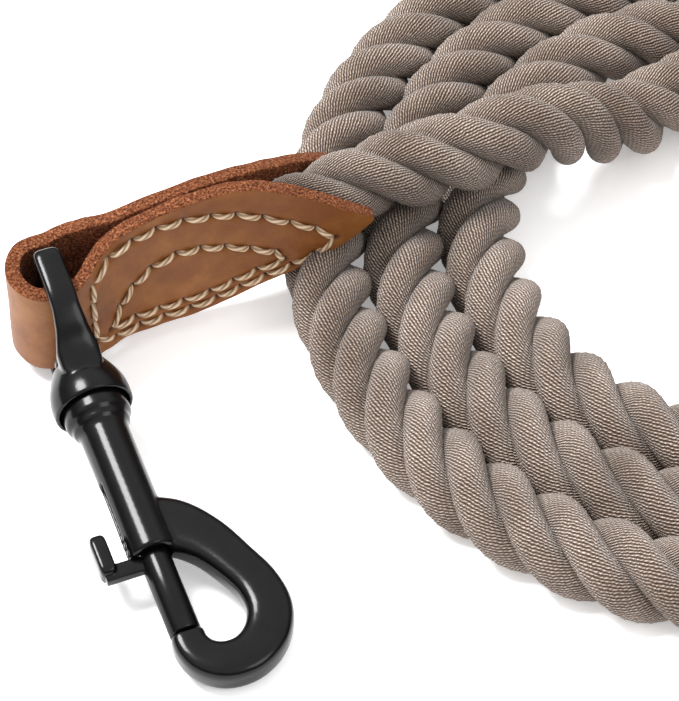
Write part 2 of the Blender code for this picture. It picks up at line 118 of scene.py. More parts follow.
def skin(name, grid, material, ring=False, caps=True, uv=None, extra=None):
    """A mesh over a grid of points: rows along, columns around and closed.

    grid is (rows, columns, 3) in layout millimetres.  ring closes the rows too.
    uv is (rows, columns + 1, 2), so that the pattern meets itself at the seam.
    extra is {attribute name: (rows, columns) values}.
    """
    grids = grid if isinstance(grid, list) else [grid]
    uvs = uv if isinstance(uv, list) else [uv]
    points, faces, corners = [], [], []
    start = 0
    for one, marks in zip(grids, uvs):
        rows, cols = one.shape[:2]
        points.append(one.reshape(-1, 3))
        j = np.arange(rows if ring else rows - 1)[:, None]
        i = np.arange(cols)[None, :]
        up, right = (j + 1) % rows, (i + 1) % cols
        quads = np.stack([j * cols + i, j * cols + right, up * cols + right, up * cols + i], -1)
        faces += (quads.reshape(-1, 4) + start).tolist()
        if marks is not None:
            k = j + 1 if not ring else up
            square = np.stack([marks[j, i], marks[j, i + 1], marks[k, i + 1], marks[k, i]], 2)
            corners.append(square.reshape(-1, 2))
        if caps and not ring:
            faces.append((start + np.arange(cols)[::-1]).tolist())
            faces.append((start + (rows - 1) * cols + np.arange(cols)).tolist())
            if marks is not None:
                corners.append(np.repeat(marks[:1, :1].reshape(1, 2), cols, 0))
                corners.append(np.repeat(marks[-1:, :1].reshape(1, 2), cols, 0))
        start += rows * cols
    mesh = bpy.data.meshes.new(name)
    mesh.from_pydata(to_world(np.concatenate(points)), [], faces)
    if corners:
        layer = mesh.uv_layers.new(name="weave")
        layer.data.foreach_set("uv", np.concatenate(corners).astype(np.float32).ravel())
    for key, values in (extra or {}).items():
        layer = mesh.attributes.new(key, "FLOAT", "POINT")
        layer.data.foreach_set("value", np.asarray(values, np.float32).ravel())
    work = bmesh.new()
    work.from_mesh(mesh)
    bmesh.ops.recalc_face_normals(work, faces=work.faces)
    work.to_mesh(mesh)
    work.free()
    mesh.shade_smooth()
    mesh.set_sharp_from_angle(angle=math.radians(50))
    mesh.materials.append(material)
    made = bpy.data.objects.new(name, mesh)
    bpy.context.scene.collection.objects.link(made)
    return made


def sweep(line, radius, sides, start_side=(0.12, 0.23, 0.96)):
    """Circles of the given radius carried square to a line of points, without twist."""
    line = np.asarray(line, float)
    ahead = unit(np.gradient(line, axis=0))
    side = np.array(start_side, float)
    sides_out = []
    for way in ahead:
        side = side - way * (side @ way)
        side = side / np.linalg.norm(side)
        sides_out.append(side)
    first = np.array(sides_out)
    second = np.cross(ahead, first)
    turn = np.linspace(0, 2 * math.pi, sides, endpoint=False)[None, :, None]
    radius = np.broadcast_to(radius, (len(line),))[:, None, None]
    return line[:, None] + radius * (np.cos(turn) * first[:, None] + np.sin(turn) * second[:, None])


# ---- materials ----------------------------------------------------------------
# Noise and cell scales count per metre: 1000 gives features of about 1 mm.
ONE_BAND = 0.31416               # the wave texture's scale that gives one band per unit


def linear(code):
    """An sRGB hex colour as linear RGBA."""
    parts = [int(code[i:i + 2], 16) / 255 for i in (0, 2, 4)]
    return (*[c / 12.92 if c <= 0.04045 else ((c + 0.055) / 1.055) ** 2.4 for c in parts], 1.0)


def new_material(name):
    made = bpy.data.materials.new(name)
    made.use_nodes = True
    tree = made.node_tree
    return made, tree, tree.nodes["Principled BSDF"]


def add(tree, kind, values=None, links=None, **settings):
    """One node with its settings, its sockets' values and its links from (node, output)."""
    made = tree.nodes.new(kind)
    for key, value in settings.items():
        setattr(made, key, value)
    for key, value in (values or {}).items():
        made.inputs[key].default_value = value
    for key, (source, output) in (links or {}).items():
        tree.links.new(source.outputs[output], made.inputs[key])
    return made


def ramp(tree, source, output, stops):
    """A colour ramp through (position, hex colour) stops."""
    made = add(tree, "ShaderNodeValToRGB", links={"Fac": (source, output)})
    while len(made.color_ramp.elements) < len(stops):
        made.color_ramp.elements.new(0.5)
    for element, (position, code) in zip(made.color_ramp.elements, stops):
        element.position = position
        element.color = linear(code)
    return made


def link(tree, source, output, target, socket):
    tree.links.new(source.outputs[output], target.inputs[socket])


def soft_cotton():
    """Soft-twisted carded cotton yarn, dyed taupe: matt, with a faint bloom of loose fibre.

    The UV map counts yarns across and knops along them, so each line of the pattern is
    one yarn of about 0.62 mm.  A real yarn's own twist is finer and is drawn this coarse.
    """
    made, tree, shader = new_material("soft_cotton_rope")
    uv = add(tree, "ShaderNodeUVMap", uv_map="weave")
    coords = add(tree, "ShaderNodeTexCoord")
    wander = add(tree, "ShaderNodeTexNoise", {"Scale": 900.0, "Detail": 3.0}, {"Vector": (coords, "Object")})
    shift = add(tree, "ShaderNodeVectorMath", {1: (0.8, 1.6, 0.0)}, {0: (wander, "Color")},
                operation="MULTIPLY")
    placed = add(tree, "ShaderNodeVectorMath", None, {0: (uv, "UV"), 1: (shift, "Vector")}, operation="ADD")
    yarns = add(tree, "ShaderNodeTexWave", {"Scale": ONE_BAND, "Distortion": 0.0},
                {"Vector": (placed, "Vector")}, bands_direction="X")
    slant = add(tree, "ShaderNodeMapping", {"Rotation": (0.0, 0.0, 0.6)}, {"Vector": (placed, "Vector")})
    knops = add(tree, "ShaderNodeTexWave", {"Scale": ONE_BAND, "Distortion": 0.6, "Detail": 1.0},
                {"Vector": (slant, "Vector")}, bands_direction="Y")
    both = add(tree, "ShaderNodeMath", None, {0: (yarns, "Fac"), 1: (knops, "Fac")}, operation="MULTIPLY")
    relief = add(tree, "ShaderNodeMix", {"Factor": 0.5}, {"A": (yarns, "Fac"), "B": (both, "Value")})
    fibre = add(tree, "ShaderNodeTexNoise", {"Scale": 5200.0, "Detail": 2.0}, {"Vector": (coords, "Object")})
    grain = add(tree, "ShaderNodeMix", {"Factor": 0.25}, {"A": (relief, "Result"), "B": (fibre, "Fac")})
    # Painted shade and highlight: this ramp colours the grooves between yarns and knops near black (2e211a) and
    # their crowns pale (e0d1c4), over the taupe dye.
    tint = ramp(tree, grain, "Result",
                [(0.12, "2e211a"), (0.34, "715e51"), (0.56, "9b897c"), (0.86, "e0d1c4")])
    patches = add(tree, "ShaderNodeTexNoise", {"Scale": 60.0, "Detail": 2.0}, {"Vector": (coords, "Object")})
    fade = ramp(tree, patches, "Fac", [(0.32, "cbc3bc"), (0.62, "ffffff")])
    colour = add(tree, "ShaderNodeMix", {"Factor": 1.0}, None, data_type="RGBA", blend_type="MULTIPLY")
    link(tree, tint, "Color", colour, 6)
    link(tree, fade, "Color", colour, 7)
    tree.links.new(colour.outputs[2], shader.inputs["Base Color"])
    bump = add(tree, "ShaderNodeBump", {"Strength": 1.0, "Distance": 0.0005}, {"Height": (grain, "Result")})
    link(tree, bump, "Normal", shader, "Normal")
    shader.inputs["Roughness"].default_value = 0.92
    shader.inputs["Specular IOR Level"].default_value = 0.2
    shader.inputs["Sheen Weight"].default_value = 0.25
    shader.inputs["Sheen Roughness"].default_value = 0.5
    return made


def tan_leather():
    """Vegetable-tanned cowhide: a waxed smooth grain face, and raw fibrous edges and flesh side.

    The attribute flesh is 0 on the grain face and 1 on the cut edge; hole is 1 in an awl hole, where dark shade
    is painted.
    """
    made, tree, shader = new_material("veg_tan_leather")
    coords = add(tree, "ShaderNodeTexCoord")
    flesh = add(tree, "ShaderNodeAttribute", attribute_name="flesh")
    hole = add(tree, "ShaderNodeAttribute", attribute_name="hole")
    cloud = add(tree, "ShaderNodeTexNoise", {"Scale": 110.0, "Detail": 5.0, "Roughness": 0.6},
                {"Vector": (coords, "Object")})
    face = ramp(tree, cloud, "Fac", [(0.3, "6b3c18"), (0.5, "7a481e"), (0.72, "8d5a2b")])
    streak = add(tree, "ShaderNodeTexNoise", {"Scale": 2200.0, "Detail": 4.0, "Roughness": 0.7},
                 {"Vector": (coords, "Object")})
    suede = ramp(tree, streak, "Fac",
                 [(0.34, "2a1208"), (0.47, "63341c"), (0.58, "8a5334"), (0.74, "c99068")])
    colour = add(tree, "ShaderNodeMix", None, {"Factor": (flesh, "Fac")}, data_type="RGBA")
    link(tree, face, "Color", colour, 6)
    link(tree, suede, "Color", colour, 7)
    # Painted shade: the awl holes are coloured dark brown (2e1a12).
    hole_shade = add(tree, "ShaderNodeMix", None, {"Factor": (hole, "Fac")}, data_type="RGBA")
    tree.links.new(colour.outputs[2], hole_shade.inputs[6])
    hole_shade.inputs[7].default_value = linear("2e1a12")
    tree.links.new(hole_shade.outputs[2], shader.inputs["Base Color"])
    pores = add(tree, "ShaderNodeTexVoronoi", {"Scale": 1500.0}, {"Vector": (coords, "Object")})
    grain = add(tree, "ShaderNodeMix", {"Factor": 0.5}, {"A": (pores, "Distance"), "B": (cloud, "Fac")})
    height = add(tree, "ShaderNodeMix", None,
                 {"Factor": (flesh, "Fac"), "A": (grain, "Result"), "B": (streak, "Fac")})
    depth = add(tree, "ShaderNodeMapRange", {"To Min": 0.12, "To Max": 1.0}, {"Value": (flesh, "Fac")})
    bump = add(tree, "ShaderNodeBump", {"Distance": 0.0006},
               {"Height": (height, "Result"), "Strength": (depth, "Result")})
    link(tree, bump, "Normal", shader, "Normal")
    rough = add(tree, "ShaderNodeMapRange", {"To Min": 0.5, "To Max": 0.95}, {"Value": (flesh, "Fac")})
    link(tree, rough, "Result", shader, "Roughness")
    shader.inputs["Specular IOR Level"].default_value = 0.22
    return made


def waxed_thread():
    """Three-ply waxed linen thread: pale, with a dull shine and slanting plies."""
    made, tree, shader = new_material("waxed_linen_thread")
    uv = add(tree, "ShaderNodeUVMap", uv_map="weave")
    plies = add(tree, "ShaderNodeTexWave", {"Scale": ONE_BAND, "Distortion": 0.5}, {"Vector": (uv, "UV")},
                bands_direction="X")
    coords = add(tree, "ShaderNodeTexCoord")
    dirt = add(tree, "ShaderNodeTexNoise", {"Scale": 700.0, "Detail": 3.0}, {"Vector": (coords, "Object")})
    mix = add(tree, "ShaderNodeMix", {"Factor": 0.35}, {"A": (plies, "Fac"), "B": (dirt, "Fac")})
    # Painted shade and highlight: this ramp colours the grooves between plies dark (7a6046) and their crowns
    # pale (dcc3a4), mixed with a random dirt tone.
    tint = ramp(tree, mix, "Result", [(0.1, "7a6046"), (0.4, "b79a7b"), (0.8, "dcc3a4")])
    link(tree, tint, "Color", shader, "Base Color")
    bump = add(tree, "ShaderNodeBump", {"Strength": 0.7, "Distance": 0.00025}, {"Height": (plies, "Fac")})
    link(tree, bump, "Normal", shader, "Normal")
    shader.inputs["Roughness"].default_value = 0.55
    return made


def black_enamel():
    """Black enamel baked on a zinc casting: glossy, with the casting's faint ripple under it."""
    made, tree, shader = new_material("black_enamelled_zinc")
    coords = add(tree, "ShaderNodeTexCoord")
    ripple = add(tree, "ShaderNodeTexNoise", {"Scale": 350.0, "Detail": 2.0}, {"Vector": (coords, "Object")})
    peel = add(tree, "ShaderNodeTexNoise", {"Scale": 2600.0, "Detail": 1.0}, {"Vector": (coords, "Object")})
    both = add(tree, "ShaderNodeMix", {"Factor": 0.3}, {"A": (ripple, "Fac"), "B": (peel, "Fac")})
    bump = add(tree, "ShaderNodeBump", {"Strength": 0.1, "Distance": 0.0001}, {"Height": (both, "Result")})
    link(tree, bump, "Normal", shader, "Normal")
    tint = ramp(tree, ripple, "Fac", [(0.3, "060607"), (0.7, "0a0a0b")])
    link(tree, tint, "Color", shader, "Base Color")
    rough = add(tree, "ShaderNodeMapRange", {"To Min": 0.13, "To Max": 0.24}, {"Value": (peel, "Fac")})
    link(tree, rough, "Result", shader, "Roughness")
    shader.inputs["Specular IOR Level"].default_value = 0.22
    return made


def spring_wire():
    """Drawn steel spring wire."""
    made, tree, shader = new_material("drawn_spring_wire")
    coords = add(tree, "ShaderNodeTexCoord")
    lines = add(tree, "ShaderNodeTexNoise", {"Scale": 1800.0, "Detail": 2.0}, {"Vector": (coords, "Object")})
    tint = ramp(tree, lines, "Fac", [(0.3, "8c8e92"), (0.7, "b9bbbf")])
    link(tree, tint, "Color", shader, "Base Color")
    shader.inputs["Metallic"].default_value = 1.0
    shader.inputs["Roughness"].default_value = 0.3
    return made


def plain_floor():
    """Matt white board with a fine tooth."""
    made, tree, shader = new_material("matt_white_board")
    coords = add(tree, "ShaderNodeTexCoord")
    tooth = add(tree, "ShaderNodeTexNoise", {"Scale": 400.0, "Detail": 2.0}, {"Vector": (coords, "Object")})
    tint = ramp(tree, tooth, "Fac", [(0.3, "fbfbfb"), (0.7, "ffffff")])
    link(tree, tint, "Color", shader, "Base Color")
    shader.inputs["Roughness"].default_value = 0.9
    shader.inputs["Specular IOR Level"].default_value = 0.1
    shader.inputs["Emission Color"].default_value = (1, 1, 1, 1)
    shader.inputs["Emission Strength"].default_value = 0.3
    return made


# ---- the rope's route ---------------------------------------------------------
ROPE_D = 16.0
TURN_PITCH = 15.6                # soft rope presses in a little where its turns touch
LAY = 36.0                       # along the rope for one turn of a strand
STRAND_OUT = 4.35                # a strand's middle from the rope's middle
STRAND_HALF = (4.15, 4.6)        # a strand's half size outwards and sideways
YARNS = 44                       # round one strand
YARN_TWIST = 18.5                # along the strand for one turn of a yarn
KNOP = 0.62                      # along a yarn from one knop to the next
FLOOR_CLEAR = 0.05               # the rope's lowest point over the floor
COIL_CENTRE = (80.8, 34.3)
COIL_RADII = (67.8, 75.7)
COIL_GROWTH = -21.7
COIL_SIDESTEP = 2.3
SLEEVE_LENGTH = 50.0
SLEEVE_PITCH = 16.3
SLEEVE_MIDDLE = np.array([107.0, 58.0])
SLEEVE_WAY = np.array([0.17, -0.985])
SLEEVE_Z = 29.0
SLEEVE_WALL = 2.6
SLEEVE_ROOM = 0.8
HAND_LOOP = [(14, 9, 28), (30, 15, 26), (46, 25, 24.8), (62, 32.5, 24.6), (79, 33, 24.6), (93, 21, 24.6)]
HAND_LOOP_LENGTH = 99.0


def oval(angle, outward):
    """A point of the coil's oval at an angle in degrees, moved outwards from it."""
    wide, tall = COIL_RADII
    a = math.radians(angle)
    nx, ny = math.cos(a) / wide, math.sin(a) / tall
    reach = (outward + COIL_GROWTH / 2 * math.sin(a)) / math.hypot(nx, ny)
    return COIL_CENTRE[0] + wide * math.cos(a) + nx * reach, COIL_CENTRE[1] + tall * math.sin(a) + ny * reach


def ring_shift(angle):
    """How far the turns stand outwards of the oval: they step inwards on the far side."""
    a = math.radians(angle)
    return COIL_SIDESTEP * math.sin(a) - ROPE_D / 2 * (0.5 + 0.5 * math.cos(a)) ** 4


def turn_offset(angle):
    """The turn's place across the coil: one turn pitch further out at each pass of the far side."""
    steps = sum(float(ease((100.0 - (angle + 360.0 * k)) / 200.0)) for k in range(3))
    return TURN_PITCH * (steps - 2.0)


def sleeve_point(along, across, z):
    """A point by its distances along and across the sleeve's middle line."""
    side = np.array([-SLEEVE_WAY[1], SLEEVE_WAY[0]])
    return (*(SLEEVE_MIDDLE + along * SLEEVE_WAY + across * side), z)


def rope_route():
    """From between the leather's leaves, over the turns, round the coil and out to the hand loop."""
    lead = [(-21.0, 11.9, 22.7), (-11.0, 15.9, 23.2), (4.0, 21.9, 24.6), (17.9, 27.9, 24.6), (26.0, 31.6, 24.6),
            (33.6, 36.0, 24.4), (42.4, 41.6, 21.6), (50.6, 48.0, 16.2), (59.0, 54.6, 11.0)]
    inside = [(*oval(angle, ring_shift(angle) - 2 * ROPE_D - 0.8), 8.3) for angle in (106, 97)]
    turns = [(*oval(angle, ring_shift(angle) + turn_offset(angle)), 8.05)
             for angle in np.arange(88, -953, -15.0)]
    rise = [(*oval(angle, out), z) for angle, out, z in
            ((119, 15, 12.0), (112, 11, 18.6), (106, 6, 23.6), (96, 4, 24.8))]
    rise += [(88.0, 102.8, 25.6), (99.5, 98.6, 27.4), (107.0, 92.2, 28.8)]
    half, end = SLEEVE_PITCH / 2, SLEEVE_LENGTH / 2
    strand = [sleeve_point(t, half, SLEEVE_Z) for t in (-end - 3, 0, end + 3)]
    leg = [sleeve_point(end + along, across, z) for along, across, z in HAND_LOOP]
    foot = [sleeve_point(end + HAND_LOOP_LENGTH, 0, 24.6)]
    back = [sleeve_point(end + along, -across, z) for along, across, z in HAND_LOOP[::-1]]
    strand_back = [sleeve_point(t, -half, SLEEVE_Z) for t in (end + 3, 0, 5 - end)]
    return turned(lead + inside + turns + rise + strand + leg + foot + back + strand_back)


def squeezed(points, station_x):
    """The rope's end unlaid and pinched: its thickness follows the gap between the two leaves."""
    wide = np.interp(station_x, [-27, -12, -3, 6, 11.5, 22], [0.15, 0.5, 2.7, 5.4, 6.3, 8.2]) / 8.2
    tall = np.interp(station_x, [-27, -16, -6, 2], [0.5, 0.75, 0.96, 1.0])
    centre = 22.3 + np.clip((station_x + 27) * 0.066, 0, 2.4)
    moved = points.copy()
    near = (station_x < 22)[:, None]
    moved[..., 1] = np.where(near, WRAP_Y + (points[..., 1] - WRAP_Y) * wide[:, None], points[..., 1])
    moved[..., 2] = np.where(near, centre[:, None] + (points[..., 2] - centre[:, None]) * tall[:, None],
                             points[..., 2])
    return moved


def make_rope(finish):
    """Three strands on a right-hand helix round the route.

    Each strand's middle is the route plus STRAND_OUT at an angle that turns once a lay.
    Its section is an oval.  The yarns turn the other way in the strand, so they lie
    along the rope at its surface.
    """
    line = smooth_line(rope_route(), step=2.1)
    gone = np.concatenate([[0], np.cumsum(np.linalg.norm(np.diff(line, axis=0), axis=1))])
    axes = sweep(line, 1.0, 4, (0.1, 0.2, 0.97)) - line[:, None]
    first, second = axes[:, 0], axes[:, 1]
    early = np.arange(len(line)) < 40
    station_x = np.where(early, line[:, 0], 99.0)
    grids, uvs = [], []
    sides = 28
    local = np.linspace(0, 2 * math.pi, sides + 1)
    for strand in range(3):
        turn = 2 * math.pi * (gone / LAY + strand / 3)
        out = np.cos(turn)[:, None] * first + np.sin(turn)[:, None] * second
        over = -np.sin(turn)[:, None] * first + np.cos(turn)[:, None] * second
        swell = 1 + 0.02 * np.sin(gone / 23.0 + 2 * strand)
        outwards = STRAND_OUT + STRAND_HALF[0] * np.cos(local[:-1]) * swell[:, None]
        sideways = STRAND_HALF[1] * np.sin(local[:-1])
        grid = line[:, None] + out[:, None] * outwards[..., None] + over[:, None] * sideways[None, :, None]
        pressed = squeezed(grid, station_x)
        pressed[..., 2] = np.maximum(pressed[..., 2], FLOOR_CLEAR)
        grids.append(pressed)
        across = YARNS * (local[None] / (2 * math.pi) + gone[:, None] / YARN_TWIST) + 13 * strand
        along = np.broadcast_to(gone[:, None] / KNOP + 5.3 * strand, across.shape)
        uvs.append(np.stack([across, along], -1))
    rope = skin("rope", grids, finish, uv=uvs)
    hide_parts("rope_sewn_end", "rope_lead", "rope_coil", "rope_handle")
    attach(rope, "root")
    return rope, to_world(line), gone[-1] * MM


# ---- the clip leather -----------------------------------------------------------
WRAP_Y = 19.2
EYE = np.array([-51.6, 19.2, 15.8])
TILT = math.radians(7.7)
LOOP_R = 6.5
LEATHER_T = 3.0
LEAF_TIP = 11.6                  # x of the leaf's point, where the rope comes out
STITCH = 5.3                     # from one awl hole to the next
PLAN_COUNT = 330                 # stations along the strap
FACE_POINTS, BACK_POINTS = 78, 30
# x, and the leaf's middle line from the wrap's middle plane
NEAR_LEAF = [(11.3, 8.0), (6, 7.2), (-3, 4.4), (-12, 2.1), (-22, 1.65), (-32, 1.7), (-39, 2.5), (-43, 4.3),
             (-46.6, 6.0)]


def leather_plan(count):
    """The strap's middle seen from above: along the near leaf, round the bar, along the far leaf."""
    near = [(x, WRAP_Y - apart) for x, apart in NEAR_LEAF]
    fold = [(EYE[0] + LOOP_R * math.cos(math.radians(a)), WRAP_Y - LOOP_R * math.sin(math.radians(a)))
            for a in (115, 145, 180, 215, 245)]
    far = [(x, 2 * WRAP_Y - y) for x, y in near[::-1]]
    return smooth_line(near + fold + far, count=count)


def leaf_heights(x):
    """The leaf's lower and upper edge along the strap.

    Both edges leave the fold's plain band, swell to the leaf's full height and close on
    its tip, beside the rope.
    """
    at = np.linspace(-70, LEAF_TIP, 34)
    low = 4.4 - 0.6 * ease((at + 46) / 12) + 19 * (np.clip(at + 30, 0, None) / 41.6) ** 2.1
    rise = np.clip((at + 50) / 34, 0, 1)
    fall = np.clip((at + 16) / 27.6, 0, 1)
    high = 27 + 7.6 * (1 - (1 - rise) ** 2) - 11 * fall ** 1.7
    line = smooth_line(np.stack([at, low, high], 1), count=300)
    return np.interp(x, line[:, 0], line[:, 1]), np.interp(x, line[:, 0], line[:, 2])


def leaf_face(x, side):
    """y of a leaf's outer face: side is -1 for the near leaf and 1 for the far one."""
    plan = leather_plan(PLAN_COUNT)
    ahead = unit(np.gradient(plan, axis=0))
    face = plan + np.stack([-ahead[:, 1], ahead[:, 0]], 1) * LEATHER_T / 2
    near = face[:int(np.argmax(plan[:, 0] < -48))][::-1]
    return WRAP_Y + side * (WRAP_Y - np.interp(x, near[:, 0], near[:, 1]))


def fold_lean(x):
    """The slope of the strap's fold, which leans with the eye's bar and fades out along the leaf."""
    return np.interp(x, [-48, -42.5], [math.tan(TILT), 0])


def outer_seam():
    """The outer stitch line, which keeps its distance from the leaf's edges."""
    x = np.linspace(-43, 1, 12)
    low, high = leaf_heights(x)
    upper = high - (3.2 + 4.8 * ease((x + 32) / 28))
    side = [(-45, z) for z in np.linspace(low[0] + 4.5, upper[0] - 3, 3)]
    return side + list(zip(x, upper)) + [(4, 20.6)] + list(zip(x, low + 2.1))[::-1]


def inner_seam():
    """The inner stitch line: a lens that stands on a line over the leaf's lower edge."""
    along = np.linspace(0, 1, 9)
    x = -41.5 + 37 * along
    foot = leaf_heights(x)[0] + 4.6
    upper = foot + 13.4 * np.sin(math.pi * along ** 0.78)
    return list(zip(x, upper)) + list(zip(x, foot))[-2:0:-1]


def stitch_holes(knots):
    """Awl holes an even pitch apart round a closed line."""
    loop = smooth_line(np.array(knots + knots[:1], float), step=0.5)
    holes = int(round(len(loop) * 0.5 / STITCH))
    return loop, loop[np.linspace(0, len(loop) - 1, holes + 1).astype(int)]


def distance_to(points, marks):
    """The distance from each (x, z) point to the nearest mark."""
    flat = points.reshape(-1, 2)
    best = np.full(len(flat), 1e9)
    for mark in np.array_split(marks, max(1, len(marks) // 40)):
        best = np.minimum(best, np.hypot(flat[:, None, 0] - mark[None, :, 0],
                                         flat[:, None, 1] - mark[None, :, 1]).min(1))
    return best.reshape(points.shape[:-1])


def make_clip_leather(finish):
    """A strap folded round the eye's bar, stitched through both leaves.

    The plan line gives the strap's middle, and each station's section is a tall
    rectangle with rounded corners, pulled in along the stitches.
    """
    plan = leather_plan(PLAN_COUNT)
    ahead = unit(np.gradient(plan, axis=0))
    out = np.stack([-ahead[:, 1], ahead[:, 0]], 1)
    low, high = leaf_heights(plan[:, 0])
    round_r = 0.45
    half = LEATHER_T / 2
    low = np.minimum(low, (low + high) / 2 - round_r - 0.1)
    high = np.maximum(high, low + 2 * round_r + 0.2)
    face = np.linspace(0, 1, FACE_POINTS)
    back = np.linspace(1, 0, BACK_POINTS)
    arc = np.radians([22.5, 45, 67.5])
    edge = np.linspace(1, -1, 6)[1:-1] * (half - round_r)
    # each section: the grain face, the upper edge with its two corners, the flesh side, the lower edge
    fractions = np.concatenate([face, np.ones(10), back, np.zeros(10)])
    lifts = np.concatenate([np.zeros(FACE_POINTS), np.sin(arc), np.ones(4), np.cos(arc), np.zeros(BACK_POINTS),
                            -np.sin(arc), -np.ones(4), -np.cos(arc)]) * round_r
    inset = half - round_r
    depths = np.concatenate([np.full(FACE_POINTS, half), inset + round_r * np.cos(arc), edge,
                             -inset - round_r * np.sin(arc), np.full(BACK_POINTS, -half),
                             -inset - round_r * np.cos(arc), -edge, inset + round_r * np.sin(arc)])
    raw = np.concatenate([np.zeros(FACE_POINTS), [0.6], np.ones(9 + BACK_POINTS + 9), [0.6]])
    z = (low + round_r)[:, None] + (high - low - 2 * round_r)[:, None] * fractions + lifts
    x = plan[:, :1] + out[:, :1] * depths
    spots = np.stack([x, z], -1)
    flat_part = (plan[:, :1] > -47) & (raw[None] < 0.5)
    seams = [stitch_holes(outer_seam()), stitch_holes(inner_seam())]
    lines = np.concatenate([loop for loop, holes in seams])
    pricks = np.concatenate([holes for loop, holes in seams])
    to_line, to_hole = distance_to(spots, lines), distance_to(spots, pricks)
    sink = np.where(flat_part, 0.22 * np.exp(-(to_line / 1.0) ** 2) + 0.7 * np.exp(-(to_hole / 0.7) ** 2), 0)
    # hole marks the awl holes, where the leather's material paints dark shade.
    hole = np.where(flat_part, np.exp(-(to_hole / 0.62) ** 4), 0)
    ripple = 0.10 * np.sin(x / 5.1 + z / 7.3) * np.sin(z / 4.7 - x / 11.0)
    edge_wave = np.where(raw > 0.9, 0.1 * np.sin(x / 1.3 + 2 * np.sin(z / 2.1)), 0)
    depth = depths[None] - sink + ripple + edge_wave
    x = plan[:, :1] + out[:, :1] * depth
    y = plan[:, 1:] + out[:, 1:] * depth
    lean = fold_lean(x)
    y, z = y - lean * (z - EYE[2]), z + lean * (y - WRAP_Y)
    grid = np.stack([x, y, z], -1)
    flesh = np.broadcast_to(raw, z.shape)
    leather = skin("clip_leather_strap", grid, finish, extra={"flesh": flesh, "hole": hole})
    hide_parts("clip_leather")
    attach(leather, "root")
    return leather


# a stitch's height over the leather, from its first hole to its second
STITCH_LIFT = [-2.4, -1.7, -0.2, 0.42, 0.5, 0.42, -0.2, -1.7, -2.4]
THREAD_R = 0.52


def stitched(name, ends, out, finish, node):
    """Saddle stitches: each rises from one hole, lies on the leather and dips into the next.

    ends are the holes on the surface and out is the way outwards.
    """
    t = np.linspace(0, 1, 13)
    height = np.interp(t, [0, 0.06, 0.16, 0.3, 0.5, 0.7, 0.84, 0.94, 1], STITCH_LIFT)
    radius = THREAD_R * np.interp(t, [0, 0.1, 0.25, 0.75, 0.9, 1], [0.8, 0.9, 1.0, 1.0, 0.9, 0.8])
    grids, uvs = [], []
    for here, there in zip(ends[:-1], ends[1:]):
        line = here + (there - here) * t[:, None] + out * height[:, None]
        grids.append(sweep(line, radius, 12, (0.31, 0.2, 0.93)))
        around = np.linspace(0, 3, 13)[None] + 1.4 * t[:, None] * 1.7
        uvs.append(np.stack([around, np.broadcast_to(t[:, None], around.shape)], -1))
    thread = skin(name, grids, finish, uv=uvs)
    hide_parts(node)
    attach(thread, "root")
    return thread


def make_clip_stitches(finish):
    """Both lines of stitches, seen on the near leaf and again on the far one."""
    made = []
    for run, knots in (("outer", outer_seam()), ("inner", inner_seam())):
        loop, holes = stitch_holes(knots)
        for yarn, side in (("needle", -1), ("bobbin", 1)):
            lean = fold_lean(holes[:, 0])
            y = leaf_face(holes[:, 0], side) - 0.22 * side
            ends = np.stack([holes[:, 0], y - lean * (holes[:, 1] - EYE[2]), holes[:, 1]], 1)
            made.append(stitched(f"{run}_{yarn}_stitches", ends, np.array([0.0, side, 0.0]), finish,
                                 f"{run}_{yarn}_thread"))
    return made


# ---- the snap ---------------------------------------------------------------------
def snap_place(points):
    """Snap points (across, along towards the hook, up) set at the eye's middle and tilted down."""
    x, v, w = points[..., 0], points[..., 1], points[..., 2]
    c, s = math.cos(TILT), math.sin(TILT)
    return np.stack([EYE[0] + x, EYE[1] - v * c - w * s, EYE[2] - v * s + w * c], -1)


def turned_profile(name, profile, finish, sides=96, closed=True):
    """A profile (along, radius) turned once round the snap's axis; closed joins its end to its start."""
    profile = np.asarray(profile, float)
    a = np.linspace(0, 2 * math.pi, sides, endpoint=False)
    along = np.repeat(profile[:, :1], sides, 1)
    grid = np.stack([profile[:, 1:] * np.cos(a), along, profile[:, 1:] * np.sin(a)], -1)
    return skin(name, snap_place(grid), finish, ring=closed)


def rounded_band(name, middle, thick_way, wide_way, half_thick, half_wide, finish, power=3.0):
    """A superellipse section with its own half thickness and half width at each station of a band."""
    a = np.linspace(0, 2 * math.pi, 48, endpoint=False)
    u = np.sign(np.cos(a)) * np.abs(np.cos(a)) ** (2 / power)
    w = np.sign(np.sin(a)) * np.abs(np.sin(a)) ** (2 / power)
    grid = (middle[:, None] + thick_way[:, None] * (half_thick[:, None] * u)[..., None]
            + wide_way[:, None] * (half_wide[:, None] * w)[..., None])
    return skin(name, snap_place(grid), finish)


def melted(name, shells, cuts, finish, voxel=0.26, passes=6):
    """Shells cast as one solid, drilled by the cutters, with its inner corners filled and its edges eased."""
    work = bmesh.new()
    for shell in shells:
        work.from_mesh(shell.data)
    mesh = bpy.data.meshes.new(name)
    work.to_mesh(mesh)
    work.free()
    body = bpy.data.objects.new(name, mesh)
    bpy.context.scene.collection.objects.link(body)

    def remesh():
        step = body.modifiers.new("cast", "REMESH")
        step.mode = "VOXEL"
        step.voxel_size = voxel * MM

    remesh()
    for cut in cuts:
        drill = body.modifiers.new("drill", "BOOLEAN")
        drill.operation = "DIFFERENCE"
        drill.solver = "MANIFOLD"
        drill.object = cut
    if cuts:
        remesh()
    ease_step = body.modifiers.new("ease", "SMOOTH")
    ease_step.factor = 0.5
    ease_step.iterations = passes
    graph = bpy.context.evaluated_depsgraph_get()
    done = bpy.data.meshes.new_from_object(body.evaluated_get(graph))
    body.modifiers.clear()
    body.data = done
    done.name = name
    done.materials.clear()
    done.materials.append(finish)
    done.shade_smooth()
    for item in list(shells) + list(cuts):
        bpy.data.objects.remove(item)
    return body


